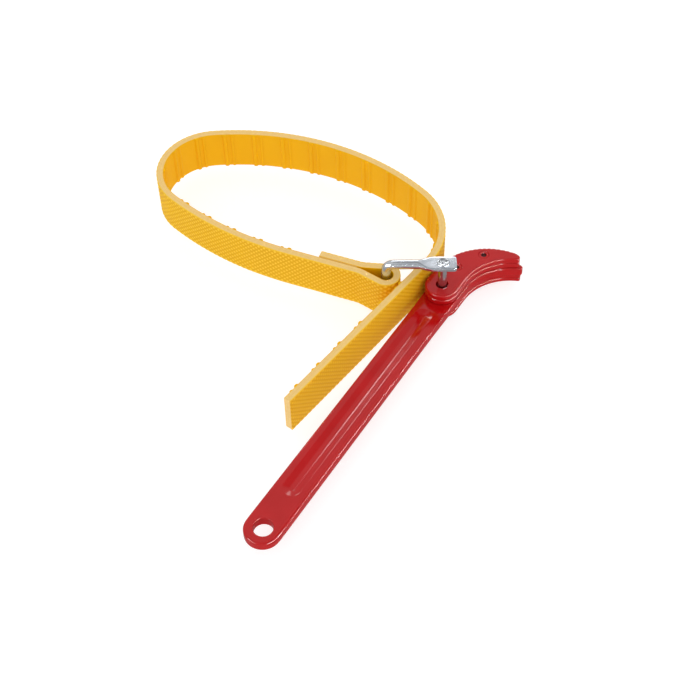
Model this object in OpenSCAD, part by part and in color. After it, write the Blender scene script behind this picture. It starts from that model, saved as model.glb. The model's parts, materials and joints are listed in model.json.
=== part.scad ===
// Strap wrench for oil filters: flat steel handle with a laminated claw head,
// a forged shackle swinging on a riveted pin, and a laminated, ribbed belt
// folded round the shackle's leg. Millimetres, +Z up, handle along +X.

/* [Handle] */
// Distance from the hang hole to the pivot pin
handle_len = 218.75; // [190:0.25:250]
// Width of the handle at the hang hole end
handle_w_end = 23.7; // [22:0.1:27]
// Width of the handle where it meets the head
handle_w_head = 22.3; // [21.5:0.1:23.2]
// Thickness of the handle plate
handle_t = 7; // [5:0.1:7.4]
// Diameter of the hang hole
hang_hole_d = 12.5; // [8:0.5:16]
// Depth of the pressed groove on each face
groove_depth = 0.9; // [0.3:0.1:1.4]
// Width of the pressed groove at the surface
groove_w = 12.8; // [11:0.1:14]

/* [Head] */
// Radius of the rounded end of the head round the pin
head_r = 11.6; // [10.5:0.1:12]
// Thickness of each upper cheek plate
cheek_t = 4.4; // [3:0.1:4.6]
// Thickness of each lower cheek plate
cheek_low_t = 3.25; // [2.6:0.05:4.4]
// Radius of the claw's convex back
back_r = 43; // [41:0.5:46]
// Radius of the claw's hollow side
hollow_r = 37.5; // [36:0.5:39]
// Pitch of the grip teeth on the convex back
tooth_pitch = 3.2; // [2.4:0.1:5]
// Depth of the grip teeth
tooth_depth = 0.45; // [0.1:0.05:0.8]
// Diameter of the head rivets
rivet_d = 7.4; // [5:0.1:8]
// Diameter of the loose pin hole in the two upper cheeks
loose_hole_d = 8.3; // [7:0.1:9]

/* [Shackle and pin] */
// Diameter of the shackle's round bar
bar_d = 6.5; // [5.5:0.1:7]
// Height from the lower arm's centre line to the upper arm's
arm_spacing = 43.3; // [42:0.1:48]
// Bend radius of the bar's centre line
bend_r = 5; // [4.6:0.1:5.4]
// Thickness of the flattened eyes
eye_t = 3; // [2:0.1:3.6]
// Width of the flattened eyes
eye_w = 12; // [10.4:0.1:13]
// Diameter of the pivot pin
pin_d = 6.4; // [5:0.1:7]
// Diameter of the pin's formed heads
pin_head_d = 8.8; // [7.6:0.1:10]

/* [Belt] */
// Width of the belt
belt_w = 30; // [24:0.5:35]
// Thickness of each rubber cover
cover_t = 0.45; // [0.4:0.05:1.2]
// Thickness of each fabric ply
ply_t = 1.9; // [1.2:0.05:2]
// Thickness of the rubber skim between the plies
skim_t = 0.3; // [0.2:0.05:0.4]
// Size of the loop the belt is laid in, as a share of its normal size
loop_scale = 1; // [0.94:0.01:1.1]
// Length of the belt's free tail
tail_len = 148.8; // [100:0.2:170]
// Length of the folded end that is bonded down
bond_len = 28; // [20:0.5:32]
// Thickness of the bond line
bond_t = 0.3; // [0.2:0.05:0.4]
// Spacing of the rib pairs
rib_pitch = 21.9; // [16:0.1:30]
// Height of the large ribs
rib_h = 1.2; // [0.4:0.1:1.3]
// Height of the small ribs
rib_small_h = 0.7; // [0.3:0.1:1.1]
// Number of rib pairs
rib_pairs = 27; // [1:1:27]

/* [Hidden] */
$fn = 96;
e = 0.01;

// heights
bar_r = bar_d / 2;
low_z = bar_r;
top_z = bar_r + arm_spacing;
head_z = low_z + eye_t / 2 + 0.05;
plate_z = head_z + 2 * cheek_low_t;
belt_z = bar_d + 0.3;
belt_t = 2 * cover_t + 2 * ply_t + skim_t;

// claw: centres of the back and hollow arcs, and where each starts and ends
back_c = [8, -32];
hollow_c = [12, -49.2];
back_a0 = 66.9;
back_a1 = 3;
hollow_a1 = 24.4;
lower_a1 = 21.4;
plate_a1 = 20.5;
plate_lip = 0.7;
end_r = handle_w_end / 2;
end_c = [-handle_len - 0.35, 0.2];
tip_y = -36.9;
upper_tip = [[50.4, -31.9], [50, -33], [49.1, -33.9], [48, -34.3], [46.9, -34.2]];
lower_tip = [[50.6, -33.1], [50.3, -34.4], [49.5, -35.4], [48.5, -35.9], [47.5, -35.9]];
plate_tip = [[50.8, -33.4], [50.6, -34.9], [50, -36.1], [49, -36.7], [48, tip_y]];

// shackle: leg position as seen from the pin
leg = [-19.8, 32.5];
leg_dist = norm(leg);
leg_ang = atan2(leg[1], leg[0]);

// fold round the leg: a teardrop with two straight flanks and two blends
fold_r = belt_t / 2 + 4.7;
fold_half = 15;
blend_r = 20;
bond_half = belt_t / 2 + bond_t / 2;
front_h = 100.5;
apex = (fold_r / cos(fold_half) - bond_half) / tan(fold_half);
blend_tan = blend_r * tan(fold_half / 2);
blend_len = blend_r * fold_half * PI / 180;
flank_len = (apex - fold_r * sin(fold_half)) / cos(fold_half) - blend_tan;
bond_p = apex + blend_tan;
fp = [cos(front_h), sin(front_h)];
fq = [sin(front_h), -cos(front_h)];

// loop: four arcs, radius and turn, from the shackle round to the tail
arcs = [[237, 24.3], [39, 130.3], [180, 54.5], [53.4, 77.8]];
tail_gap = 15.6;

function advance(s, g) = g[1] == 0
    ? [s[0] + g[0] * cos(s[2]), s[1] + g[0] * sin(s[2]), s[2]]
    : let (r = g[0] / (g[1] * PI / 180))
      [s[0] + r * (sin(s[2] + g[1]) - sin(s[2])), s[1] - r * (cos(s[2] + g[1]) - cos(s[2])),
       s[2] + g[1]];
function run(start, list) = [for (i = 0, s = start; i <= len(list);
    s = i < len(list) ? advance(s, list[i]) : s, i = i + 1) s];
function total(list, n) = n <= 0 ? 0 : list[n - 1][0] + total(list, n - 1);

loop_list = [for (a = arcs) [a[0] * loop_scale * a[1] * PI / 180, -a[1]]];

// the straight run beside the bond is solved so that the tail clears the head
loop_start = [leg[0] + bond_p * fp[0] - bond_half * fq[0],
              leg[1] + bond_p * fp[1] - bond_half * fq[1], front_h];
loop_end = run(loop_start, loop_list)[len(loop_list)];
tail_n = [-sin(loop_end[2]), cos(loop_end[2])];
tail_s = tail_n[1] > 0 ? 1 : -1;
front_len = (tail_gap - tail_s * (loop_end[0] * tail_n[0] + loop_end[1] * tail_n[1]))
    / (tail_s * (fp[0] * tail_n[0] + fp[1] * tail_n[1]));

// whole belt, from the cut end of the fold to the end of the tail
belt_start = [leg[0] + (bond_p + bond_len) * fp[0] + bond_half * fq[0],
              leg[1] + (bond_p + bond_len) * fp[1] + bond_half * fq[1], front_h + 180];
belt_list = concat(
    [[bond_len, 0], [blend_len, fold_half], [flank_len, 0],
     [fold_r * (180 + 2 * fold_half) * PI / 180, -(180 + 2 * fold_half)],
     [flank_len, 0], [blend_len, fold_half], [front_len, 0]],
    loop_list, [[tail_len, 0]]);
belt_states = run(belt_start, belt_list);
belt_len = total(belt_list, len(belt_list));
starts = [for (i = [0:len(belt_list)]) total(belt_list, i)];

// a point at run s along the belt and offset d towards the inside of the loop
function seg_of(s, i) = i >= len(belt_list) - 1 || s < starts[i + 1] ? i : seg_of(s, i + 1);
function state_at(s) = let (i = seg_of(s, 0), f = (s - starts[i]) / belt_list[i][0])
    advance(belt_states[i], [max(s - starts[i], 1e-6), belt_list[i][1] * f]);
function shift(t, d) = [t[0] + d * sin(t[2]), t[1] - d * cos(t[2])];
function steps(g) = g[1] == 0 ? 1 : max(ceil(g[0] / 3.5), ceil(abs(g[1]) / 6));
base_runs = [for (i = [0:len(belt_list) - 1], j = [0:steps(belt_list[i]) - 1])
    starts[i] + belt_list[i][0] * j / steps(belt_list[i])];
all_runs = concat(base_runs, [belt_len - 0.001]);
all_states = [for (s = all_runs) state_at(s)];
function side(d) = [for (t = all_states) shift(t, d)];
function flip(v) = [for (i = [len(v) - 1:-1:0]) v[i]];

// ribs: run back from the tail's end; a pair is a large rib and a small one
first_rib = 12.1;
pair_gap = 5.4;
rib_zone = belt_len - first_rib - (rib_pairs - 1) * rib_pitch - 6;
function rib(s, w, h) = [[s - w / 2, 0], [s - w / 4, h], [s + w / 4, h], [s + w / 2, 0]];
rib_marks = [for (k = [rib_pairs - 1:-1:0], m = let (c = belt_len - first_rib - k * rib_pitch)
    concat(rib(c, 3.4, rib_h), rib(c + pair_gap, 2.4, rib_small_h),
           k > 0 ? [for (j = [1:4]) [c + pair_gap + 1.2 + j * (rib_pitch - pair_gap - 2.9) / 5, 0]]
                 : [])) m];
inner_runs = concat([for (s = all_runs) if (s < rib_zone) [s, 0]], rib_marks,
    [[belt_len - 0.001, 0]]);

// frame: origin under the middle of the whole tool
outer_side = side(-belt_t / 2);
min_x = end_c[0] - end_r;
max_x = max([for (p = outer_side) p[0]]);
max_y = max([for (p = outer_side) p[1]]);
frame_at = [-(min_x + max_x) / 2, -(tip_y + max_y) / 2, 0];

function arc(c, r, a0, a1, n) = [for (i = [0:n]) let (a = a0 + (a1 - a0) * i / n)
    [c[0] + r * cos(a), c[1] + r * sin(a)]];

// claw outline between the rounded end and the tip, teeth along its back
teeth = floor(back_r * (back_a0 - back_a1 - 6) * PI / 180 / tooth_pitch);
tooth_a = (back_a0 - back_a1 - 6) / teeth;
function back_edge() = [for (i = [0:teeth - 1], j = [0:3])
    let (a = back_a0 - 3 - (i + j / 4) * tooth_a, r = back_r - (j == 2 ? tooth_depth : 0))
    [back_c[0] + r * cos(a), back_c[1] + r * sin(a)]];

// where the straight run from the teeth touches the rounded end
teeth_start = [back_c[0] + back_r * cos(back_a0), back_c[1] + back_r * sin(back_a0)];
touch_a = atan2(teeth_start[1], teeth_start[0]) + acos(head_r / norm(teeth_start));

// the claw from the rounded end's far side, along the teeth, the tip and the hollow
function claw(tip, hollow_end, lip) = concat(
    arc(back_c, back_r, back_a0, back_a0 - 3, 1), back_edge(),
    arc(back_c, back_r, back_a1 + 3, back_a1, 1), tip,
    arc(hollow_c, hollow_r - lip, hollow_end, 90, 20));

module cheek_2d(tip, hollow_end) {
    polygon(concat(claw(tip, hollow_end, 0), arc([0, 0], head_r, -90, touch_a - 360, 44)));
}

rivet_at = [[18.8, -0.9], [38.3, -11.4]];

module rivet_holes() {
    for (p = rivet_at)
        translate([p[0], p[1], -e])
            cylinder(h = 10, d = rivet_d + 0.04);
}

module cheek(z, t, hole_d, tip, hollow_end) {
    translate([0, 0, z])
        difference() {
            linear_extrude(height = t)
                cheek_2d(tip, hollow_end);
            translate([0, 0, -e])
                cylinder(h = t + 2 * e, d = hole_d);
            rivet_holes();
        }
}

module groove() {
    x0 = -handle_len + 27;
    x1 = -19;
    flank = 4.4;
    r1 = groove_w / 2;
    r0 = r1 - flank;
    for (x = [x0 + r1, x1 - r1])
        translate([x, 0, 0])
            cylinder(h = groove_depth + e, r1 = r0, r2 = r1 + flank * e / groove_depth);
    translate([x0 + r1, 0, 0])
        rotate([90, 0, 90])
            linear_extrude(height = x1 - x0 - 2 * r1)
                polygon([[-r0, 0], [r0, 0], [r1, groove_depth], [r1, groove_depth + e],
                         [-r1, groove_depth + e], [-r1, groove_depth]]);
}

module handle_outline() {
    low = -head_r - 0.2;
    join_a = 180 - asin(min((handle_w_head + low) / head_r, 0.98));
    polygon(concat(claw(plate_tip, plate_a1, plate_lip),
        [[0, low]],
        arc(end_c, end_r, 270, 90, 40),
        arc([0, 0], head_r, join_a, touch_a, 12)));
}

module handle_plate() {
    color("firebrick")
    translate(frame_at)
        translate([0, 0, plate_z])
            difference() {
                linear_extrude(height = handle_t)
                    handle_outline();
                translate([-handle_len, 0, -e])
                    cylinder(h = handle_t + 2 * e, d = hang_hole_d);
                translate([0, 0, -e])
                    cylinder(h = handle_t + 2 * e, d = pin_d + 0.14);
                rivet_holes();
                translate([0, 0, handle_t - groove_depth])
                    groove();
                translate([0, 0, groove_depth])
                    mirror([0, 0, 1])
                        groove();
            }
}

module cheek_upper_outer() {
    color("firebrick")
    translate(frame_at)
        cheek(plate_z + handle_t + cheek_t, cheek_t, loose_hole_d, upper_tip, hollow_a1);
}

module cheek_upper_inner() {
    color("indianred")
    translate(frame_at)
        cheek(plate_z + handle_t, cheek_t, loose_hole_d, upper_tip, hollow_a1);
}

module cheek_lower_inner() {
    color("indianred")
    translate(frame_at)
        cheek(plate_z - cheek_low_t, cheek_low_t, pin_d + 0.14, lower_tip, lower_a1);
}

module cheek_lower_outer() {
    color("firebrick")
    translate(frame_at)
        cheek(head_z, cheek_low_t, pin_d + 0.14, lower_tip, lower_a1);
}

module head_rivets() {
    h = 2 * cheek_t + 2 * cheek_low_t + handle_t;
    color("darkred")
    translate(frame_at)
        for (p = rivet_at)
            translate([p[0], p[1], head_z])
                difference() {
                    cylinder(h = h, d = rivet_d);
                    translate([0, 0, h - 2])
                        cylinder(h = 2 + e, r1 = 1.1, r2 = 2);
                    translate([0, 0, -e])
                        cylinder(h = 2 + e, r1 = 2, r2 = 1.1);
                }
}

// one arm: round bar from the bend, pressed flat into an eye round the pin
module eye_2d() {
    w = eye_w / 2;
    c = 1.8;
    past = 8.9;
    polygon(concat([[16.5, bar_r], [12.4, bar_r + 0.9], [7.6, w]],
        arc([c - past, w - c], c, 90, 180, 8),
        arc([c - past, c - w], c, 180, 270, 8),
        [[7.6, -w], [12.4, -bar_r - 0.9], [16.5, -bar_r]]));
}

module arm() {
    difference() {
        union() {
            translate([12.2, 0, 0])
                rotate([0, 90, 0])
                    cylinder(h = leg_dist - bend_r - 12.2, r = bar_r);
            translate([0, 0, -eye_t / 2])
                linear_extrude(height = eye_t)
                    eye_2d();
        }
        for (m = [0, 1])
            mirror([0, 0, m])
                rotate([90, 0, 0])
                    translate([0, 0, -10])
                        linear_extrude(height = 20)
                            polygon([[12, eye_t / 2], [12.8, eye_t / 2], [17.4, bar_r + e],
                                     [17.4, bar_r + 2], [12, bar_r + 2]]);
        translate([0, 0, -5])
            cylinder(h = 10, d = pin_d + 0.1);
    }
}

module bend(z, up) {
    translate([leg_dist - bend_r, 0, z + up * bend_r])
        rotate([90, 0, 0])
            rotate_extrude(angle = 90)
                translate([bend_r, 0])
                    circle(r = bar_r);
}

module shackle() {
    color("silver")
    translate(frame_at)
        rotate([0, 0, leg_ang]) {
            translate([0, 0, low_z])
                arm();
            translate([0, 0, top_z])
                arm();
            translate([leg_dist, 0, low_z + bend_r])
                cylinder(h = arm_spacing - 2 * bend_r, r = bar_r);
            bend(top_z, -1);
            translate([0, 0, low_z + bend_r])
                mirror([0, 0, 1])
                    bend(bend_r, -1);
        }
}

// pivot pin, riveted over at both ends with a ring of punch marks
module pin_head() {
    n = 3;
    difference() {
        union() {
            cylinder(h = 0.35, d = pin_head_d);
            translate([0, 0, 0.35])
                cylinder(h = 0.45, d1 = pin_head_d, d2 = pin_head_d - 1.4);
        }
        for (i = [0:n - 1])
            rotate([0, 0, 30 + i * 360 / n])
                translate([2.1, 0, 0.25])
                    cylinder(h = 0.6, r1 = 0.5, r2 = 1.1);
        translate([0, 0, 0.4])
            difference() {
                cylinder(h = 0.5, d = pin_head_d - 2.6);
                translate([0, 0, -e])
                    cylinder(h = 0.6, d = 2.2);
            }
    }
}

module pivot_pin() {
    color("gainsboro")
    translate(frame_at) {
        translate([0, 0, low_z - eye_t / 2 - 0.02])
            cylinder(h = arm_spacing + eye_t + 0.04, d = pin_d);
        translate([0, 0, top_z + eye_t / 2 + 0.02])
            pin_head();
        translate([0, 0, low_z - eye_t / 2 - 0.02])
            mirror([0, 0, 1])
                pin_head();
    }
}

// belt layers: each is the strip between two offsets of the belt's centre line
module layer(d0, d1) {
    translate(frame_at)
        translate([0, 0, belt_z])
            linear_extrude(height = belt_w)
                polygon(concat(side(d0), flip(side(d1))));
}

module belt_outer_cover() {
    color("gold")
        layer(-belt_t / 2, -belt_t / 2 + cover_t);
}

module belt_outer_ply() {
    color("wheat")
        layer(-belt_t / 2 + cover_t, -skim_t / 2);
}

module belt_skim() {
    color("khaki")
        layer(-skim_t / 2, skim_t / 2);
}

module belt_inner_ply() {
    color("wheat")
        layer(skim_t / 2, belt_t / 2 - cover_t);
}

module belt_inner_cover() {
    color("orange")
    translate(frame_at)
        translate([0, 0, belt_z])
            linear_extrude(height = belt_w)
                polygon(concat(side(belt_t / 2 - cover_t),
                    flip([for (r = inner_runs) shift(state_at(r[0]), belt_t / 2 + r[1])])));
}

module belt_bond() {
    slack = 0.01;
    c = leg + (bond_p + 0.5) * fp;
    color("peru")
    translate(frame_at)
        translate([c[0], c[1], belt_z])
            rotate([0, 0, front_h])
                translate([0, slack - bond_t / 2, 0])
                    cube([bond_len - 0.5, bond_t - 2 * slack, belt_w]);
}

handle_plate();
cheek_upper_outer();
cheek_upper_inner();
cheek_lower_inner();
cheek_lower_outer();
head_rivets();
shackle();
pivot_pin();
belt_outer_cover();
belt_outer_ply();
belt_skim();
belt_inner_ply();
belt_inner_cover();
belt_bond();
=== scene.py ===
"""The looks of an oil filter strap wrench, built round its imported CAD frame. Metres, +Z up."""

import json
import math

import bmesh
import bpy
from mathutils import Matrix, Vector, geometry, noise


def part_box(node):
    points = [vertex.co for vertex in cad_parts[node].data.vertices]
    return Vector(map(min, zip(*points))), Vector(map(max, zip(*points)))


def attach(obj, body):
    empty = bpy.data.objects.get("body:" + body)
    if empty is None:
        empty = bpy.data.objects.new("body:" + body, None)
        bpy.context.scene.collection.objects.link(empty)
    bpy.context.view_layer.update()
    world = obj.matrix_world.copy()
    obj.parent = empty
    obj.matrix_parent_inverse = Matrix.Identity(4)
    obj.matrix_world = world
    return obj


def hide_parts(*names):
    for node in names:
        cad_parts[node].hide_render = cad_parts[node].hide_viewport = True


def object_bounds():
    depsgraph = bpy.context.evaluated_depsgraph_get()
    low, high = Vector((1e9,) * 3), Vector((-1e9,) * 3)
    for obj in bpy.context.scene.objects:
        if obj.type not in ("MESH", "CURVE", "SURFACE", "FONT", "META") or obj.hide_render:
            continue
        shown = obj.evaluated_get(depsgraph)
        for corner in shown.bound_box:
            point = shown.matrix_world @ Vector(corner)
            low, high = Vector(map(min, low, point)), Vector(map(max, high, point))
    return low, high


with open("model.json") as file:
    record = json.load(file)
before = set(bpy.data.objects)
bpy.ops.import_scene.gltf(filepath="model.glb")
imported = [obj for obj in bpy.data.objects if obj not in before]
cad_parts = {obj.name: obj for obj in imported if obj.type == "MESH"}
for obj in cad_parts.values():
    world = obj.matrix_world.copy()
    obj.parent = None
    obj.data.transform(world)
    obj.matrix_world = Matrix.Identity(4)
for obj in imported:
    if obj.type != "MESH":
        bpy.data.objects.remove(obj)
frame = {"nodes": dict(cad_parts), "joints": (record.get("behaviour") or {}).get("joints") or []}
cad_low, cad_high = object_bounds()

MM = 0.001


# ---------------------------------------------------------------- what the frame says

def middle(node):
    low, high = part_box(node)
    return (low + high) / 2


PIN = middle("pivot_pin")
BELT_LOW, BELT_HIGH = (corner.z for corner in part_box("belt_skim"))


def flat_edges(node, z):
    """Pairs of points: the edges where the node's flat face at height z meets an upright wall."""
    bm = bmesh.new()
    bm.from_mesh(frame["nodes"][node].data)
    bmesh.ops.remove_doubles(bm, verts=bm.verts, dist=2e-6)
    bm.normal_update()
    pairs = []
    for edge in bm.edges:
        if any(abs(v.co.z - z) > 1e-5 for v in edge.verts) or len(edge.link_faces) != 2:
            continue
        tilt = sorted(abs(face.normal.z) for face in edge.link_faces)
        if tilt[0] < 0.2 and tilt[1] > 0.99:
            pairs.append([v.co.to_2d().freeze() for v in edge.verts])
    bm.free()
    return pairs


def rims(node, z):
    """Closed outlines of the node's flat face at height z, the longest first, anticlockwise."""
    links = {}
    for a, b in flat_edges(node, z):
        links.setdefault(a, []).append(b)
        links.setdefault(b, []).append(a)
    loops = []
    while links:
        start = min(links, key=lambda p: (p.x, p.y))
        loop, last, here = [start], start, links[start][0]
        while here != start:
            loop.append(here)
            ahead = [p for p in links[here] if p != last]
            last, here = here, ahead[0] if ahead else start
        for p in loop:
            links.pop(p, None)
        turn = sum(a.x * b.y - a.y * b.x for a, b in zip(loop, loop[1:] + loop[:1]))
        loops.append(loop if turn > 0 else loop[::-1])
    return sorted(loops, key=lambda l: -sum((a - b).length for a, b in zip(l, l[1:] + l[:1])))


class Route:
    """The belt's centre line, rebuilt from the two sides of its middle layer, as arcs and lines."""

    def __init__(self, node, z):
        loop = rims(node, z)[0]
        sizes = [(loop[i] - loop[i - 1]).length for i in range(len(loop))]
        half = len(loop) // 2
        cut = min(range(half), key=lambda i: sizes[i] + sizes[i + half])
        loop = loop[cut:] + loop[:cut]
        one, two = loop[:half], loop[half:][::-1]
        if one[0].x < one[-1].x:
            one, two = one[::-1], two[::-1]
        if two[-1].y < one[-1].y:
            one, two = two, one
        self.points = [(a + b) / 2 for a, b in zip(one, two)]
        inward = [b - a for a, b in zip(one, two)]
        self.headings = [math.atan2(n.x, -n.y) for n in inward]
        self.starts, self.turns = [0.0], []
        for i in range(half - 1):
            turn = math.remainder(self.headings[i + 1] - self.headings[i], math.tau)
            chord = (self.points[i + 1] - self.points[i]).length
            bow = turn / 2 / math.sin(turn / 2) if abs(turn) > 1e-6 else 1.0
            self.turns.append(turn)
            self.starts.append(self.starts[-1] + chord * bow)
        self.length = self.starts[-1]

    def at(self, s, d, z):
        """The point at run s, offset d towards the inside of the loop, at height z."""
        s = min(max(s, 0.0), self.length)
        low, high = 0, len(self.starts) - 1
        while high - low > 1:
            mid = (low + high) // 2
            if self.starts[mid] <= s:
                low = mid
            else:
                high = mid
        run, turn = self.starts[low + 1] - self.starts[low], self.turns[low]
        part = (s - self.starts[low]) / run
        half = turn * part / 2
        reach = run * part * (math.sin(half) / half if abs(half) > 1e-7 else 1.0)
        aim = self.headings[low] + half
        heading = self.headings[low] + turn * part
        base = self.points[low] + reach * Vector((math.cos(aim), math.sin(aim)))
        return Vector((base.x + d * math.sin(heading), base.y - d * math.cos(heading), z))


ROUTE = Route("belt_skim", BELT_LOW)


# ---------------------------------------------------------------- materials

def linear(red, green, blue):
    """A colour given as a screen value from 0 to 255, as a linear colour."""
    def one(c):
        c /= 255
        return c / 12.92 if c <= 0.04045 else ((c + 0.055) / 1.055) ** 2.4
    return (one(red), one(green), one(blue), 1.0)


class Look:
    """A node material round one Principled shader."""

    def __init__(self, name, **sockets):
        self.material = bpy.data.materials.new(name)
        self.material.use_nodes = True
        self.tree = self.material.node_tree
        self.shader = self.tree.nodes["Principled BSDF"]
        for socket, value in sockets.items():
            self.shader.inputs[socket.replace("_", " ")].default_value = value
        self.place = self.add("ShaderNodeTexCoord").outputs["Object"]

    def add(self, kind, **settings):
        made = self.tree.nodes.new(kind)
        for key, value in settings.items():
            setattr(made, key, value)
        return made

    def join(self, source, target):
        self.tree.links.new(source, target)

    def stretched(self, x, y, z, turn=0.0):
        """Object coordinates scaled by x, y, z after a turn about Z, in degrees."""
        spin = self.add("ShaderNodeMapping")
        spin.inputs["Rotation"].default_value = (0, 0, math.radians(turn))
        self.join(self.place, spin.inputs["Vector"])
        scale = self.add("ShaderNodeMapping")
        scale.inputs["Scale"].default_value = (x, y, z)
        self.join(spin.outputs["Vector"], scale.inputs["Vector"])
        return scale.outputs["Vector"]

    def noise(self, scale, detail=3.0, rough=0.5, vector=None):
        made = self.add("ShaderNodeTexNoise")
        made.inputs["Scale"].default_value = scale
        made.inputs["Detail"].default_value = detail
        made.inputs["Roughness"].default_value = rough
        self.join(vector or self.place, made.inputs["Vector"])
        return made.outputs["Fac"]

    def spots(self, scale, vector=None):
        made = self.add("ShaderNodeTexVoronoi", feature="F1")
        made.inputs["Scale"].default_value = scale
        self.join(vector or self.place, made.inputs["Vector"])
        return made.outputs["Distance"]

    def span(self, value, low, high, to_low, to_high):
        """value's range low to high, turned into to_low to to_high."""
        made = self.add("ShaderNodeMapRange")
        for key, number in (("From Min", low), ("From Max", high), ("To Min", to_low), ("To Max", to_high)):
            made.inputs[key].default_value = number
        self.join(value, made.inputs["Value"])
        return made.outputs["Result"]

    def blend(self, share, one, two):
        """Colour one where share is 0 and colour two where it is 1."""
        made = self.add("ShaderNodeMix", data_type="RGBA")
        self.join(share, made.inputs["Factor"])
        for socket, colour in (("A", one), ("B", two)):
            port = [i for i in made.inputs if i.name == socket and i.type == "RGBA"][0]
            if isinstance(colour, tuple):
                port.default_value = colour
            else:
                self.join(colour, port)
        return [o for o in made.outputs if o.type == "RGBA"][0]

    def sums(self, *values):
        total = values[0]
        for value in values[1:]:
            made = self.add("ShaderNodeMath", operation="ADD")
            self.join(total, made.inputs[0])
            self.join(value, made.inputs[1])
            total = made.outputs[0]
        return total

    def colour(self, source):
        self.join(source, self.shader.inputs["Base Color"])

    def roughness(self, source):
        self.join(source, self.shader.inputs["Roughness"])

    def bump(self, height, distance, strength=1.0):
        """distance is the height in metres of a value of 1."""
        made = self.add("ShaderNodeBump")
        made.inputs["Distance"].default_value = distance
        made.inputs["Strength"].default_value = strength
        self.join(height, made.inputs["Height"])
        self.join(made.outputs["Normal"], self.shader.inputs["Normal"])


def red_paint():
    look = Look("red_gloss_paint", Specular_IOR_Level=0.5)
    cloud = look.noise(45, 4)
    deep, fresh = linear(187, 10, 13), linear(195, 16, 20)
    look.colour(look.blend(look.span(cloud, 0.35, 0.65, 0, 1), deep, fresh))
    peel = look.noise(420, 2, 0.45)
    sags = look.noise(70, 1, 0.3)
    look.roughness(look.span(look.noise(160, 3), 0.3, 0.7, 0.06, 0.12))
    look.bump(look.sums(look.span(peel, 0, 1, 0, 0.12), look.span(sags, 0, 1, 0, 1)), 0.00004)
    return look.material


def plated_steel():
    look = Look("bright_plated_steel", Metallic=1.0)
    cloud = look.noise(120, 4)
    look.colour(look.blend(look.span(cloud, 0.3, 0.7, 0, 1), linear(206, 213, 222), linear(232, 237, 244)))
    scratch = look.noise(60, 5, 0.6, look.stretched(1, 14, 6, 31))
    look.roughness(look.span(look.sums(scratch, cloud), 0.7, 1.3, 0.14, 0.3))
    dents = look.noise(210, 2, 0.4)
    look.bump(look.sums(look.span(dents, 0, 1, 0, 1), look.span(scratch, 0, 1, 0, 0.12)), 0.00005)
    return look.material


def pin_steel():
    look = Look("pin_steel", Metallic=1.0)
    cloud = look.noise(300, 3)
    steel_tone = look.blend(look.span(cloud, 0.3, 0.7, 0, 1), linear(190, 194, 200), linear(218, 222, 226))
    struck = look.add("ShaderNodeAttribute", attribute_name="struck").outputs["Fac"]
    turned = look.noise(40, 3, 0.5, look.stretched(1, 1, 60))
    # The punch marks are painted dark grey: painted shade in the dents.
    look.colour(look.blend(struck, steel_tone, linear(38, 38, 42)))
    look.roughness(look.span(turned, 0.3, 0.7, 0.14, 0.28))
    look.bump(look.sums(turned, look.span(cloud, 0, 1, 0, 0.5)), 0.00002)
    return look.material


def belt_rubber(name, low, high):
    """Amber rubber, paler where the attribute called raised comes near 1: a painted highlight."""
    look = Look(name, Specular_IOR_Level=0.12)
    cloud = look.noise(28, 3)
    mottled = look.noise(420, 3, 0.6)
    base = look.blend(look.span(cloud, 0.3, 0.7, 0, 1), low, high)
    raised = look.add("ShaderNodeAttribute", attribute_name="raised").outputs["Fac"]
    glint_share = look.add("ShaderNodeMath", operation="MULTIPLY")
    look.join(raised, glint_share.inputs[0])
    look.join(raised, glint_share.inputs[1])
    # Painted highlight: diamond tops and cut edges are coloured pale, standing in for glints.
    painted_glint = look.blend(glint_share.outputs[0], base, linear(253, 206, 58))
    speck = tuple(0.93 * c for c in low[:3]) + (1.0,)
    look.colour(look.blend(look.span(mottled, 0.6, 0.8, 0, 0.4), painted_glint, speck))
    look.roughness(look.span(mottled, 0.3, 0.7, 0.4, 0.55))
    grain = look.noise(1500, 2, 0.6)
    look.bump(look.sums(look.span(grain, 0, 1, 0, 0.5), mottled), 0.00006)
    return look.material


def belt_fabric():
    look = Look("belt_fabric", Sheen_Weight=0.2, Specular_IOR_Level=0.2)
    threads = look.spots(1500)
    tufts = look.noise(520, 4, 0.65)
    base = look.blend(look.span(tufts, 0.35, 0.65, 0, 1), linear(246, 205, 120), linear(251, 217, 140))
    look.colour(look.blend(look.span(threads, 0.2, 0.7, 0, 0.5), base, linear(240, 196, 122)))
    look.roughness(look.span(tufts, 0.3, 0.7, 0.7, 0.9))
    look.bump(look.sums(threads, tufts), 0.00006)
    return look.material


def skim_rubber():
    look = Look("skim_rubber", Specular_IOR_Level=0.35)
    cloud = look.noise(300, 3)
    look.colour(look.blend(look.span(cloud, 0.3, 0.7, 0, 1), linear(236, 190, 112), linear(244, 202, 130)))
    look.roughness(look.span(cloud, 0.3, 0.7, 0.5, 0.66))
    look.bump(look.noise(1200, 2), 0.00008)
    return look.material


# Dark red for the plugs sunk in the rivets' dimples: painted shade.
def rivet_pit_shade():
    look = Look("painted_pit_shade", Specular_IOR_Level=0.12)
    cloud = look.noise(900, 3)
    look.colour(look.blend(look.span(cloud, 0.35, 0.65, 0, 1), linear(38, 4, 6), linear(88, 12, 14)))
    look.roughness(look.span(cloud, 0.3, 0.7, 0.2, 0.45))
    look.bump(cloud, 0.0001)
    return look.material


RED = red_paint()
PIT_SHADE = rivet_pit_shade()
PLATED = plated_steel()
PIN_STEEL = pin_steel()
KNURLED = belt_rubber("amber_knurled_rubber", linear(230, 169, 2), linear(235, 175, 3))
RIBBED = belt_rubber("amber_ribbed_rubber", linear(243, 181, 2), linear(247, 188, 3))
FABRIC = belt_fabric()
SKIM = skim_rubber()


# ---------------------------------------------------------------- pieces

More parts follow.
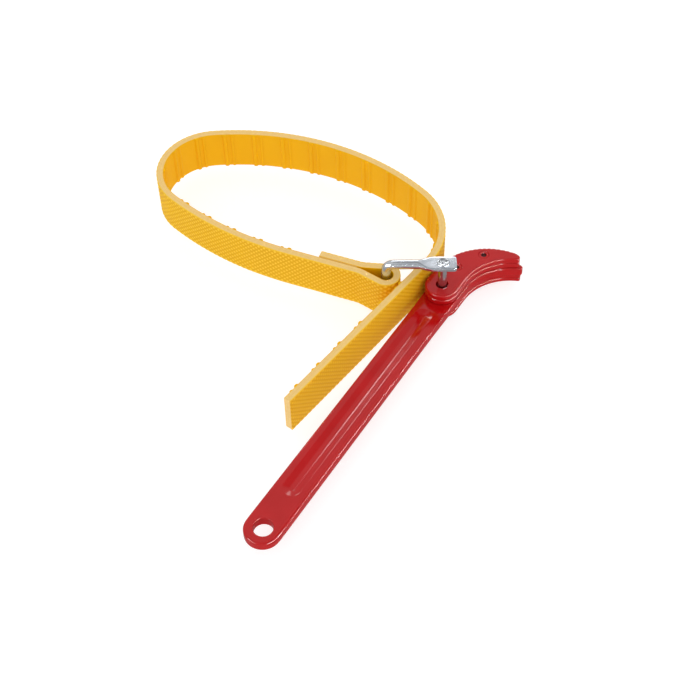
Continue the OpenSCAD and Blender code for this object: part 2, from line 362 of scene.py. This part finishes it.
def piece(name, verts, faces, look, body, slot, *nodes, merge=2e-7, weighted=True):
    """A smooth-shaded mesh piece that rides on a body and stands for CAD nodes."""
    mesh = bpy.data.meshes.new(name)
    mesh.from_pydata([tuple(v) for v in verts], [], faces)
    bm = bmesh.new()
    bm.from_mesh(mesh)
    bmesh.ops.remove_doubles(bm, verts=bm.verts, dist=merge)
    bmesh.ops.dissolve_degenerate(bm, edges=bm.edges, dist=merge)
    bmesh.ops.recalc_face_normals(bm, faces=bm.faces)
    for face in bm.faces:
        face.smooth = True
    for edge in bm.edges:
        edge.smooth = len(edge.link_faces) == 2 and edge.calc_face_angle(0.0) < math.radians(38)
    bm.to_mesh(mesh)
    bm.free()
    mesh.materials.append(look)
    made = bpy.data.objects.new(name, mesh)
    bpy.context.scene.collection.objects.link(made)
    if weighted:
        made.modifiers.new("weighted_normals", "WEIGHTED_NORMAL").keep_sharp = True
    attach(made, body)
    if nodes:
        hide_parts(*nodes)
    return made


def store(made, name, share):
    """Keeps a number from 0 to 1 for each vertex, for the material to read."""
    layer = made.data.attributes.new(name, "FLOAT", "POINT")
    for vertex, item in zip(made.data.vertices, layer.data):
        item.value = share(vertex.co)


def inset(loop, amount):
    """A closed anticlockwise outline moved inwards by amount, outwards if it is negative."""
    moved = []
    count = len(loop)
    for i, here in enumerate(loop):
        before = (here - loop[i - 1]).normalized()
        after = (loop[(i + 1) % count] - here).normalized()
        one, two = Vector((-before.y, before.x)), Vector((-after.y, after.x))
        reach = min(1 / max(1 + one.dot(two), 0.2), 1.6)
        moved.append(here + amount * reach * (one + two))
    return moved


def softened(loop, cut, sharp=14):
    """An outline whose corners turning more than sharp degrees are cut into a short curve."""
    made = []
    count = len(loop)
    for i, here in enumerate(loop):
        before, after = loop[i - 1] - here, loop[(i + 1) % count] - here
        turn = math.degrees(math.pi - before.angle(after))
        if turn < sharp:
            made.append(here)
            continue
        back = here + before.normalized() * min(cut, before.length * 0.4)
        on = here + after.normalized() * min(cut, after.length * 0.4)
        steps = max(2, round(turn / 12))
        for k in range(steps + 1):
            t = k / steps
            made.append((1 - t) ** 2 * back + 2 * t * (1 - t) * here + t * t * on)
    return made


def inside(point, loop):
    hit = False
    for a, b in zip(loop, loop[1:] + loop[:1]):
        if (a.y > point.y) != (b.y > point.y):
            if point.x < a.x + (point.y - a.y) / (b.y - a.y) * (b.x - a.x):
                hit = not hit
    return hit


class Shell:
    """Vertices and faces of one mesh, gathered ring by ring."""

    def __init__(self):
        self.verts, self.faces = [], []

    def ring(self, loop, z):
        first = len(self.verts)
        self.verts += [Vector((p.x, p.y, z)) for p in loop]
        return list(range(first, len(self.verts)))

    def band(self, one, two):
        count = len(one)
        for i in range(count):
            j = (i + 1) % count
            self.faces.append((one[i], one[j], two[j], two[i]))

    def fill(self, outer, holes, z):
        """The flat area at height z inside outer and outside the holes."""
        loops = [outer, *holes]
        points = [p for loop in loops for p in loop]
        lines, first = [], 0
        for loop in loops:
            lines += [(first + i, first + (i + 1) % len(loop)) for i in range(len(loop))]
            first += len(loop)
        done = geometry.delaunay_2d_cdt(points, lines, [], 0, 1e-9)
        start = len(self.verts)
        self.verts += [Vector((p.x, p.y, z)) for p in done[0]]
        for face in done[2]:
            centre = sum((done[0][i] for i in face), Vector((0, 0))) / len(face)
            if inside(centre, outer) and not any(inside(centre, hole) for hole in holes):
                self.faces.append(tuple(start + i for i in face))


EDGE_STEPS = 6


def rounded(radius):
    """Insets and drops of a quarter round of that radius, from the wall to the flat."""
    turns = [math.pi / 2 * k / EDGE_STEPS for k in range(EDGE_STEPS + 1)]
    return [(radius * (1 - math.cos(t)), radius * (1 - math.sin(t))) for t in turns]


def eased(loop, rounds=10):
    """The outline with its small teeth and corners smoothed away, point by point."""
    for _ in range(rounds):
        loop = [p * 0.5 + (loop[i - 1] + loop[(i + 1) % len(loop)]) * 0.25 for i, p in enumerate(loop)]
    return loop


def plate(shell, outline, holes, low, high, edge, hole_edge, dents=()):
    """A plate with rounded edges. Each dent is (rings, depths): see groove()."""
    tops = []
    for loop, sign, radius in [(outline, 1, edge)] + [(hole, -1, hole_edge) for hole in holes]:
        calm = eased(loop) if sign > 0 else loop
        steps = [([a.lerp(b, min(1, x / radius)) for a, b in zip(loop, calm)], x, y)
                 for x, y in rounded(radius)]
        upper = [shell.ring(inset(line, sign * x), high - y) for line, x, y in steps]
        lower = [shell.ring(inset(line, sign * x), low + y) for line, x, y in steps]
        for rings in (upper, lower):
            for one, two in zip(rings, rings[1:]):
                shell.band(one, two)
        shell.band(upper[0], lower[0])
        tops.append(inset(steps[-1][0], sign * radius))
    for z, down in ((high, -1), (low, 1)):
        cuts = []
        for rings, depths in dents:
            made = [shell.ring(loop, z + down * depth) for loop, depth in zip(rings, depths)]
            for one, two in zip(made, made[1:]):
                shell.band(one, two)
            shell.fill(rings[-1], [], z + down * depths[-1])
            cuts.append(rings[0])
        shell.fill(tops[0], tops[1:] + cuts, z)


def circle(x, y, radius, count):
    return [Vector((x + radius * math.cos(math.tau * i / count), y + radius * math.sin(math.tau * i / count)))
            for i in range(count)]


def capsule(x0, x1, y, radius, count=20):
    """A long round-ended outline from x0 to x1, the centres of its ends."""
    turns = [math.pi * i / count for i in range(count + 1)]
    right = [Vector((x1 + radius * math.sin(t), y - radius * math.cos(t))) for t in turns]
    left = [Vector((x0 - radius * math.sin(t), y + radius * math.cos(t))) for t in turns]
    return right + left


PLATE_EDGE, PLATE_HOLE_EDGE = 1.2 * MM, 0.6 * MM
CHEEK_EDGE, CHEEK_HOLE_EDGE = 1.0 * MM, 0.3 * MM


def groove():
    """Nested outlines and depths of the handle's long pressed groove: crest, flank and floor."""
    low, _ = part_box("handle_plate")
    width, depth = 6.0 * MM, 0.95 * MM
    from_end, from_pin = 38.8 * MM, 19 * MM
    x0 = low.x + from_end + width
    x1 = PIN.x - from_pin - width
    crest = [(1.09, 0.0), (1.06, 0.004), (1.02, 0.02), (0.98, 0.06), (0.94, 0.115)]
    flank = [(0.8, 0.3), (0.6, 0.565), (0.42, 0.8)]
    foot = [(0.36, 0.875), (0.31, 0.93), (0.26, 0.97), (0.21, 0.99), (0.14, 1.0), (0.06, 1.0)]
    shares = crest + flank + foot
    rings = [capsule(x0, x1, PIN.y + (0.6 + 0.4 * (1 - share)) * MM, width * share) for share, _ in shares]
    return rings, [depth * down for _, down in shares]


def handle_plate():
    low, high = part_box("handle_plate")
    outline, *holes = rims("handle_plate", high.z)
    hang, pin_hole, *rivet_holes = sorted(holes, key=lambda loop: min(p.x for p in loop))
    centre = sum(hang, Vector((0, 0))) / len(hang)
    hang = circle(centre.x, centre.y, (hang[0] - centre).length, 64)
    shell = Shell()
    plate(shell, softened(outline, 0.5 * MM), [hang, pin_hole, *rivet_holes], low.z, high.z,
          PLATE_EDGE, PLATE_HOLE_EDGE, [groove()])
    piece("handle_plate_painted", shell.verts, shell.faces, RED, "handle", "red_paint", "handle_plate")


def cheek(node):
    low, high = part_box(node)
    outline, *holes = rims(node, high.z)
    pin_hole = min(holes, key=lambda loop: min(p.x for p in loop))
    centre = sum(pin_hole, Vector((0, 0))) / len(pin_hole)
    round_hole = circle(centre.x, centre.y, (pin_hole[0] - centre).length, 48)
    others = [hole for hole in holes if hole is not pin_hole]
    shell = Shell()
    plate(shell, softened(outline, 0.6 * MM), [round_hole, *others], low.z, high.z,
          CHEEK_EDGE, CHEEK_HOLE_EDGE)
    piece(node + "_painted", shell.verts, shell.faces, RED, "handle", "red_paint", node)


def lathe(shell, x, y, profile, count=48, wobble=None):
    """A solid of revolution about the upright line at x, y. profile is (radius, z) from pole to pole."""
    rings = []
    for radius, z in profile:
        loop = circle(x, y, max(radius, 1e-6), count)
        first = len(shell.verts)
        for i, p in enumerate(loop):
            lift = wobble(radius, math.tau * i / count, z) if wobble else 0.0
            shell.verts.append(Vector((p.x, p.y, z + lift)))
        rings.append(list(range(first, len(shell.verts))))
    for one, two in zip(rings, rings[1:]):
        shell.band(one, two)
    shell.faces += [tuple(rings[0]), tuple(rings[-1])]


def head_rivets():
    low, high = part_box("head_rivets")
    holes = sorted(rims("cheek_upper_outer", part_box("cheek_upper_outer")[1].z)[1:],
                   key=lambda loop: min(p.x for p in loop))[1:]
    shell = Shell()
    for hole in holes:
        centre = sum(hole, Vector((0, 0))) / len(hole)
        radius = (hole[0] - centre).length - 0.02 * MM
        face = [(0.0, -2.1), (0.6, -2.1), (1.0, -1.98), (1.3, -1.6), (1.6, -0.9), (1.85, -0.35), (2.1, -0.02),
                (2.4, 0.12), (2.8, 0.12), (3.15, -0.02), (3.4, -0.2), (3.6, -0.42)]
        top = [(r * MM, high.z + z * MM) for r, z in face]
        base = [(r * MM, low.z - z * MM) for r, z in reversed(face)]
        wall = [(radius, high.z - 0.5 * MM), (radius, low.z + 0.5 * MM)]
        lathe(shell, centre.x, centre.y, top + wall + base)
    piece("head_rivets_painted", shell.verts, shell.faces, RED, "handle", "red_paint", "head_rivets")
    # Dark plugs sunk into the rivet heads' dimples: painted shade.
    shell = Shell()
    for hole in holes:
        centre = sum(hole, Vector((0, 0))) / len(hole)
        for z, up in ((high.z, 1), (low.z, -1)):
            plug = [(0.0, -0.8), (0.9, -0.74), (1.45, -0.58), (1.8, -0.42), (1.88, -0.65), (1.2, -2.0),
                    (0.0, -2.15)]
            lathe(shell, centre.x, centre.y, [(r * MM, z + up * h * MM) for r, h in plug], 32)
    piece("rivet_pits_painted_shade", shell.verts, shell.faces, PIT_SHADE, "handle", "red_paint")


def smooth(t):
    t = min(max(t, 0.0), 1.0)
    return t * t * (3 - 2 * t)


def eye_size(u):
    """Half width, half thickness and squareness of the shackle's bar, u from the pin in mm."""
    bar = 3.25
    width = 6.0 - (6.0 - bar) * smooth((u - 6.5) / 11.5)
    corner = 1.8
    end = -8.9
    if u < end + corner:
        width = 6.0 - corner + math.sqrt(max(corner ** 2 - (end + corner - u) ** 2, 0))
    thick = 1.5 + (bar - 1.5) * smooth((u - 10.5) / 7.5)
    square = 7.0 - 5.0 * smooth((u - 8) / 8)
    return width, thick, square


def shackle_stations():
    """Along the bar from the lower eye: distance out, height, heading and section, in mm."""
    bar, bend, turns = 3.25, 5.0, 12
    low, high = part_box("shackle")
    reach = leg_offset().length / MM
    z_low, z_high = low.z / MM + bar, high.z / MM - bar
    eye = [-8.9, -8.84, -8.6, -8.2, -7.7, -7.1, -5, -2, 2, 5, 6.5, 8, 9.5, 11, 12.5, 14, 15.5, 17,
           18.5, 22, 26, 30]
    lower = [(u, z_low, 0.0, *eye_size(u)) for u in eye + [reach - bend]]
    for k in range(1, turns + 1):
        t = math.pi / 2 * k / turns
        lower.append((reach - bend + bend * math.sin(t), z_low + bend - bend * math.cos(t), t, bar, bar, 2.0))
    middle_z = (z_low + z_high) / 2
    leg = [(reach, z_low + bend + (middle_z - z_low - bend) * k / 5, math.pi / 2, bar, bar, 2.0)
           for k in range(1, 5)]
    half = lower + leg
    upper = [(u, z_low + z_high - z, math.pi - t, *size) for u, z, t, *size in reversed(half)]
    return half + upper


def leg_offset():
    """From the pin's axis to the shackle's leg, in plan."""
    leg = next(j for j in frame["joints"] if j["name"] == "belt_swing")["pos_m"]
    return Vector((leg[0] - PIN.x, leg[1] - PIN.y))


def shackle():
    """One round bar bent into a U, with its ends pressed flat into eyes."""
    along = leg_offset().normalized()
    sideways = Vector((-along.y, along.x, 0))
    around = 32
    shell = Shell()
    rings = []
    for u, z, heading, width, thick, square in shackle_stations():
        centre = Vector((PIN.x + along.x * u * MM, PIN.y + along.y * u * MM, z * MM))
        up = Vector((-along.x * math.sin(heading), -along.y * math.sin(heading), math.cos(heading)))
        first = len(shell.verts)
        for i in range(around):
            a = math.tau * i / around
            c, q = math.cos(a), math.sin(a)
            x = width * math.copysign(abs(c) ** (2 / square), c)
            y = thick * math.copysign(abs(q) ** (2 / square), q)
            shell.verts.append(centre + sideways * x * MM + up * y * MM)
        rings.append(list(range(first, len(shell.verts))))
    for one, two in zip(rings, rings[1:]):
        shell.band(one, two)
    shell.faces += [tuple(rings[0]), tuple(rings[-1])]
    made = piece("shackle_bar", shell.verts, shell.faces, PLATED, "shackle", "plated_steel", "shackle")
    bore_out(made, PIN.x, PIN.y, 3.25 * MM)


def bore_out(made, x, y, radius):
    """Cuts an upright hole through a piece."""
    shell = Shell()
    low, high = cad_low.z - 2 * MM, cad_high.z + 2 * MM
    one, two = (shell.ring(circle(x, y, radius, 64), z) for z in (low, high))
    shell.band(one, two)
    shell.faces += [tuple(one), tuple(two)]
    mesh = bpy.data.meshes.new("drill")
    mesh.from_pydata([tuple(v) for v in shell.verts], [], shell.faces)
    drill = bpy.data.objects.new("drill", mesh)
    bpy.context.scene.collection.objects.link(drill)
    cut = made.modifiers.new("bore", "BOOLEAN")
    cut.operation, cut.object, cut.solver = "DIFFERENCE", drill, "EXACT"
    bake_modifiers(made)
    bpy.data.objects.remove(drill)


def bake_modifiers(made):
    """Turns what the modifiers give into the piece's own mesh."""
    seen = made.evaluated_get(bpy.context.evaluated_depsgraph_get())
    mesh = bpy.data.meshes.new_from_object(seen)
    made.modifiers.clear()
    made.data = mesh


def pivot_pin():
    """A plain pin, riveted over at both ends and staked with three marks."""
    low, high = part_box("pivot_pin")
    shaft = 3.2
    marks = [(2.35, 108), (2.35, -32), (1.15, 182)]
    thick = 0.8
    dome = [(0.0, 0.5), (0.45, 0.5), (0.9, 0.5), (1.35, 0.52), (1.8, 0.58), (2.2, 0.66), (2.6, 0.76),
            (2.95, 0.84), (3.3, 0.9), (3.65, 0.88), (3.95, 0.76), (4.2, 0.52), (4.32, 0.24), (4.3, 0.0)]

    def struck(dx, dy):
        """How deep the punch marks are, from 0 to 1, at a place on the head in millimetres."""
        deep = 0.0
        for r, turn in marks:
            off = (dx - r * math.cos(math.radians(turn))) ** 2 + (dy - r * math.sin(math.radians(turn))) ** 2
            deep += math.exp(-off / 0.34)
        return min(deep, 1.0)

    def staked(radius, angle, z):
        r = radius / MM
        from_middle = z - (low.z + high.z) / 2
        if r > 4.2 or abs(from_middle) < 20 * MM:
            return 0.0
        return math.copysign(-0.7 * MM * struck(r * math.cos(angle), r * math.sin(angle)), from_middle)

    fine = []
    for (r0, z0), (r1, z1) in zip(dome, dome[1:]):
        fine += [(r0 + (r1 - r0) * k / 2, z0 + (z1 - z0) * k / 2) for k in range(2)]
    fine.append(dome[-1])
    top = [(r * MM, high.z + (z - thick) * MM) for r, z in fine]
    base = [(r * MM, low.z - (z - thick) * MM) for r, z in reversed(fine)]
    wall = [(shaft * MM, high.z - thick * MM), (shaft * MM, low.z + thick * MM)]
    steps = 12
    column = [(shaft * MM, wall[0][1] + (wall[1][1] - wall[0][1]) * k / steps) for k in range(steps + 1)]
    shell = Shell()
    lathe(shell, PIN.x, PIN.y, top + column + base, 60, staked)
    made = piece("pivot_pin_riveted", shell.verts, shell.faces, PIN_STEEL, "pin", "pin_steel", "pivot_pin")

    # The depth of the punch marks on the heads; the pin's material paints them dark as painted shade.
    def share(co):
        dx, dy = (co.x - PIN.x) / MM, (co.y - PIN.y) / MM
        on_head = abs(co.z - (low.z + high.z) / 2) > 20 * MM and math.hypot(dx, dy) < 3.6
        return struck(dx, dy) if on_head else 0.0

    store(made, "struck", share)


# ---------------------------------------------------------------- belt

def reach_of(node):
    """A belt layer's two offsets from the centre line, towards the inside of the loop."""
    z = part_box(node)[0].z
    end = ROUTE.at(ROUTE.length, 0, z)
    inward = ROUTE.at(ROUTE.length, 1, z) - end
    near = [v.co for v in frame["nodes"][node].data.vertices if (v.co.to_2d() - end.to_2d()).length < 4 * MM]
    offsets = [(p - end).dot(inward) for p in near]
    return min(offsets), max(offsets)


def runs(step, extra=()):
    """Places along the belt, closer together where it bends hard."""
    made = [0.0]
    for start, stop, turn in zip(ROUTE.starts, ROUTE.starts[1:], ROUTE.turns):
        count = max(1, math.ceil((stop - start) / step), math.ceil(abs(turn) / math.radians(5)))
        made += [start + (stop - start) * (k + 1) / count for k in range(count)]
    made = sorted(made + [s for s in extra if 0 < s < ROUTE.length])
    kept = [made[0]]
    for s in made[1:]:
        if s - kept[-1] > 0.12 * MM:
            kept.append(s)
    kept[-1] = ROUTE.length
    return kept


def strip(name, look, slot, node, stations, section):
    """A belt layer swept along the route. section(s) is a closed list of (offset, height)."""
    shell = Shell()
    rings = []
    for s in stations:
        first = len(shell.verts)
        shell.verts += [ROUTE.at(s, d, z) for d, z in section(s)]
        rings.append(list(range(first, len(shell.verts))))
    for one, two in zip(rings, rings[1:]):
        shell.band(one, two)
    shell.faces += [tuple(rings[0]), tuple(rings[-1])]
    return piece(name, shell.verts, shell.faces, look, "belt", slot, node)


def ragged(s, seed, amount):
    """A small unevenness of a cut edge, in metres."""
    broad = noise.noise(Vector((s * 260, seed, 0.5)))
    fine = noise.noise(Vector((s * 900, seed, 3.5)))
    return amount * broad + amount * 0.6 * fine


def core_edge(s):
    """Heights of the core's two cut edges, with the small unevenness of a knife cut."""
    return BELT_LOW + 0.04 * MM + ragged(s, 7, 0.08 * MM), BELT_HIGH - 0.04 * MM + ragged(s, 0, 0.08 * MM)


def fabric_ply(node):
    near, far = reach_of(node)
    core = (far - near) / 2

    def section(s):
        base, top = core_edge(s)
        crown = 0.04 * MM
        return [(near, base), (near + core * 0.5, base - crown), (near + core, base - crown * 1.2),
                (far - core * 0.5, base - crown), (far, base), (far, top), (far - core * 0.5, top + crown),
                (near + core, top + crown * 1.2), (near + core * 0.5, top + crown), (near, top)]

    strip(node + "_woven", FABRIC, "belt_fabric", node, runs(1.2 * MM), section)


def skim():
    near, far = reach_of("belt_skim")

    def section(s):
        base, top = core_edge(s)
        return [(near, base), (far, base), (far, top), (near, top)]

    strip("belt_skim_layer", SKIM, "belt_skim_rubber", "belt_skim", runs(1.2 * MM), section)


COVER = 0.45 * MM
RIB_PITCH, PAIR_GAP, FIRST_RIB = 21.9 * MM, 5.4 * MM, 12.1 * MM
RIB_PAIRS = 27
BIG_RIB, SMALL_RIB = (3.6 * MM, 1.2 * MM), (2.6 * MM, 0.7 * MM)


def ribs():
    """Centre, half width and height of every rib."""
    made = []
    for k in range(RIB_PAIRS):
        centre = ROUTE.length - FIRST_RIB - k * RIB_PITCH
        made += [(centre, BIG_RIB[0] / 2, BIG_RIB[1]), (centre + PAIR_GAP, SMALL_RIB[0] / 2, SMALL_RIB[1])]
    return made


def inner_cover():
    near, far = reach_of("belt_inner_cover")
    far = near + COVER
    low, high = BELT_LOW, BELT_HIGH
    marks = ribs()
    shares = (-1.12, -1.0, -0.9, -0.76, -0.55, -0.3, 0.0, 0.3, 0.55, 0.76, 0.9, 1.0, 1.12)
    extra = [centre + half * share for centre, half, _ in marks for share in shares]

    def lift(s):
        for centre, half, height in marks:
            x = abs(s - centre) / half
            if x < 1.12:
                return height * (1 - smooth((x - 0.42) / 0.7))
        return 0.0

    def section(s):
        face = far + lift(s)
        edge = 0.3 * MM
        top, base = high + ragged(s, 21, 0.04 * MM), low + ragged(s, 25, 0.04 * MM)
        return [(near, base), (face - edge, base), (face - edge * 0.3, base + edge * 0.3),
                (face, base + edge), (face, base + 10 * MM), (face, top - 10 * MM), (face, top - edge),
                (face - edge * 0.3, top - edge * 0.3), (face - edge, top), (near, top)]

    strip("belt_inner_cover_ribbed", RIBBED, "belt_rubber", "belt_inner_cover", runs(2 * MM, extra), section)


KNURL_RUN, KNURL_ROWS = 2.05 * MM, 16
KNURL_LAND, KNURL_HIGH = 0.34, 0.2 * MM
PLAIN_FROM, PLAIN_TO, PLAIN_FADE = 105 * MM, 175 * MM, 12 * MM


def knurl_height(s):
    """Height of the raised diamonds: pressed nearly flat over the bonded end."""
    into = smooth((s - PLAIN_FROM) / PLAIN_FADE) * smooth((PLAIN_TO - s) / PLAIN_FADE)
    return KNURL_HIGH * (1 - 0.93 * into)


def outer_cover():
    """The outer cover: a lattice of raised diamonds, cut through at the belt's edges."""
    near, far = reach_of("belt_outer_cover")
    columns = 2 * round(ROUTE.length / KNURL_RUN / 2)
    step = ROUTE.length / columns
    rise = (BELT_HIGH - BELT_LOW) / KNURL_ROWS
    valley = 0.08 * MM
    shell = Shell()
    index = {}

    def outer(i, j, raised):
        key = (round(i, 3), round(j, 3), raised)
        if key not in index:
            s = i * step
            index[key] = len(shell.verts)
            d = near + valley - (knurl_height(s) if raised else 0.0)
            shell.verts.append(ROUTE.at(s, d, BELT_LOW + j * rise))
        return index[key]

    def inner(i, j):
        key = (round(i, 3), round(j, 3), "in")
        if key not in index:
            index[key] = len(shell.verts)
            shell.verts.append(ROUTE.at(i * step, far, BELT_LOW + j * rise))
        return index[key]

    rims_found = {side: [] for side in ("low", "high", "start", "end")}
    for i in range(columns + 1):
        for j in range(KNURL_ROWS + 1):
            if (i + j) % 2 == 0:
                continue
            ways = [(1, 0), (0, 1), (-1, 0), (0, -1)]
            kept = [(a, b) for a, b in ways if 0 <= i + a <= columns and 0 <= j + b <= KNURL_ROWS]
            feet = [outer(i + a, j + b, False) for a, b in kept]
            lands = [outer(i + a * KNURL_LAND, j + b * KNURL_LAND, True) for a, b in kept]
            shell.faces.append(tuple(lands))
            for k, (way, foot, land) in enumerate(zip(kept, feet, lands)):
                ahead = (k + 1) % len(kept)
                if way[0] * kept[ahead][0] + way[1] * kept[ahead][1] == 0:
                    shell.faces.append((foot, feet[ahead], lands[ahead], land))
            if len(kept) == 3:
                side = "low" if j == 0 else "high" if j == KNURL_ROWS else "start" if i == 0 else "end"
                a, b = (1, 0) if side in ("low", "high") else (0, 1)
                rims_found[side] += [(i - a, j - b, False), (i - a * KNURL_LAND, j - b * KNURL_LAND, True),
                                     (i + a * KNURL_LAND, j + b * KNURL_LAND, True), (i + a, j + b, False)]
    for spots in rims_found.values():
        for one, two in zip(spots, spots[1:]):
            if one[:2] != two[:2]:
                shell.faces.append((outer(*one), outer(*two), inner(*two[:2]), inner(*one[:2])))
    low_line = sorted({spot[0] for spot in rims_found["low"]} | {spot[0] for spot in rims_found["high"]})
    for a, b in zip(low_line, low_line[1:]):
        ends = [inner(a, 0), inner(b, 0), inner(b, KNURL_ROWS), inner(a, KNURL_ROWS)]
        shell.faces.append(tuple(ends))
    made = piece("belt_outer_cover_knurled", shell.verts, shell.faces, KNURLED, "belt", "belt_rubber",
                 "belt_outer_cover", weighted=False)
    for face in made.data.polygons:
        face.use_smooth = False
    lands = {tuple(round(x, 7) for x in shell.verts[n]) for key, n in index.items() if key[2] is True}
    edge = 0.05 * MM

    # Diamond tops and the cut edges get 1, and the material paints them pale as a painted highlight.
    def share(co):
        rim = co.z < BELT_LOW + edge or co.z > BELT_HIGH - edge
        return 1.0 if rim or tuple(round(x, 7) for x in co) in lands else 0.0

    store(made, "raised", share)


def bond():
    frame["nodes"]["belt_bond"].data.materials.clear()
    frame["nodes"]["belt_bond"].data.materials.append(SKIM)


handle_plate()
for name in ("cheek_upper_outer", "cheek_upper_inner", "cheek_lower_inner", "cheek_lower_outer"):
    cheek(name)
head_rivets()
shackle()
pivot_pin()
for name in ("belt_outer_ply", "belt_inner_ply"):
    fabric_ply(name)
skim()
inner_cover()
outer_cover()
bond()


# ---------------------------------------------------------------- stage, light and camera

def floor():
    """A pale glowing sheet, duller where the part's gloss mirrors it."""
    look = Look("pale_floor", Specular_IOR_Level=0.1)
    look.shader.inputs["Emission Color"].default_value = (1, 1, 1, 1)
    ray = look.add("ShaderNodeLightPath").outputs["Is Glossy Ray"]
    look.join(look.span(ray, 0, 1, 0.75, 0.0), look.shader.inputs["Emission Strength"])
    cloud = look.noise(3, 2)
    look.colour(look.blend(cloud, linear(166, 166, 166), linear(172, 172, 172)))
    look.roughness(look.span(cloud, 0, 1, 0.9, 0.95))
    mesh = bpy.data.meshes.new("floor")
    reach = 3.0
    mesh.from_pydata([(-reach, -reach, 0), (reach, -reach, 0), (reach, reach, 0), (-reach, reach, 0)], [],
                     [(0, 1, 2, 3)])
    mesh.materials.append(look.material)
    made = bpy.data.objects.new("floor", mesh)
    bpy.context.scene.collection.objects.link(made)


def studio():
    """An even glow for soft light; mirrored rays see a tent with patches and long lamps instead."""
    world = bpy.data.worlds.new("studio")
    world.use_nodes = True
    nodes, links = world.node_tree.nodes, world.node_tree.links
    way = nodes.new("ShaderNodeTexCoord").outputs["Generated"]

    def math_node(operation, *inputs):
        made = nodes.new("ShaderNodeMath")
        made.operation = operation
        for port, source in zip(made.inputs, inputs):
            if isinstance(source, (int, float)):
                port.default_value = source
            else:
                links.new(source, port)
        return made.outputs[0]

    def towards(direction):
        along = nodes.new("ShaderNodeVectorMath")
        along.operation = "DOT_PRODUCT"
        along.inputs[1].default_value = direction
        links.new(way, along.inputs[0])
        return along.outputs["Value"]

    def step(value, low, high):
        made = nodes.new("ShaderNodeMapRange")
        made.interpolation_type = "SMOOTHSTEP"
        made.inputs["From Min"].default_value = low
        made.inputs["From Max"].default_value = high
        links.new(value, made.inputs["Value"])
        return made.outputs["Result"]

    def patch(glow, share, value):
        """Turns the tent's glow into value where share is 1."""
        mix = nodes.new("ShaderNodeMix")
        links.new(share, mix.inputs[0])
        if isinstance(glow, float):
            mix.inputs[2].default_value = glow
        else:
            links.new(glow, mix.inputs[2])
        mix.inputs[3].default_value = value
        return mix.outputs[0]

    def cosine(degrees):
        return math.cos(math.radians(degrees))

    glow = TENT_GLOW
    for direction, inner, outer, value in ROUND_PATCHES:
        share = step(towards(Vector(direction).normalized()), cosine(outer), cosine(inner))
        glow = patch(glow, share, value)
    for direction, length, width, value in BAR_LAMPS:
        ahead = Vector(direction).normalized()
        above = (Vector((0, 0, 1)) - ahead * ahead.z).normalized()
        off = math_node("ABSOLUTE", towards(above))
        near, far = math.sin(math.radians(width)), math.sin(math.radians(width + 2))
        across = math_node("SUBTRACT", 1.0, step(off, near, far))
        share = math_node("MULTIPLY", across, step(towards(ahead), cosine(length + 3), cosine(length)))
        glow = patch(glow, share, value)
    ray = nodes.new("ShaderNodeLightPath").outputs
    first = math_node("LESS_THAN", ray["Diffuse Depth"], 0.5)
    mirrored = math_node("MULTIPLY", ray["Is Glossy Ray"], first)
    mix = nodes.new("ShaderNodeMix")
    links.new(mirrored, mix.inputs[0])
    mix.inputs[2].default_value = SOFT_GLOW
    links.new(glow, mix.inputs[3])
    links.new(mix.outputs[0], nodes["Background"].inputs["Strength"])
    nodes["Background"].inputs["Color"].default_value = (1, 1, 1, 1)
    bpy.context.scene.world = world


# round patches: direction, degrees fully inside, degrees where it ends, glow
SOFT_GLOW = 0.9
TENT_GLOW = 0.6
ROUND_PATCHES = [
    ((0.60, 0.30, 0.74), 14, 24, 0.7),
    ((0.25, -0.05, 0.97), 12, 26, 0.3),
    ((-0.54, -0.35, 0.77), 10, 20, 0.4),
    ((0.516, 0.530, 0.670), 2.5, 4, 10.0),
    ((0.80, 0.36, 0.48), 7, 9, 4.0),
]
# long level lamps: direction, half length and half height in degrees, glow
BAR_LAMPS = [
    ((0.032, -0.906, 0.423), 36, 3.0, 50.0),
    ((-0.809, 0.409, 0.423), 16, 3.0, 40.0),
]


def camera():
    """The camera stands at the viewing angle: 50 degrees down, and a little off level."""
    data = bpy.data.cameras.new("camera")
    data.sensor_width, data.lens = 36.0, 74.23
    made = bpy.data.objects.new("camera", data)
    forward = Vector((0.5379, 0.3520, -0.7660)).normalized()
    target = Vector((5.07, -61.61, 21.6)) * MM
    made.location = target - forward * 0.924
    right = forward.cross(Vector((0, 0, 1))).normalized()
    up = right.cross(forward)
    roll = math.radians(-1.84)
    level_right, level_up = right.copy(), up.copy()
    right = math.cos(roll) * level_right + math.sin(roll) * level_up
    up = -math.sin(roll) * level_right + math.cos(roll) * level_up
    made.rotation_mode = "QUATERNION"
    made.rotation_quaternion = Matrix((right, up, -forward)).transposed().to_quaternion()
    bpy.context.scene.collection.objects.link(made)
    bpy.context.scene.camera = made


floor()
studio()
camera()
bpy.context.scene.view_settings.view_transform = "Standard"
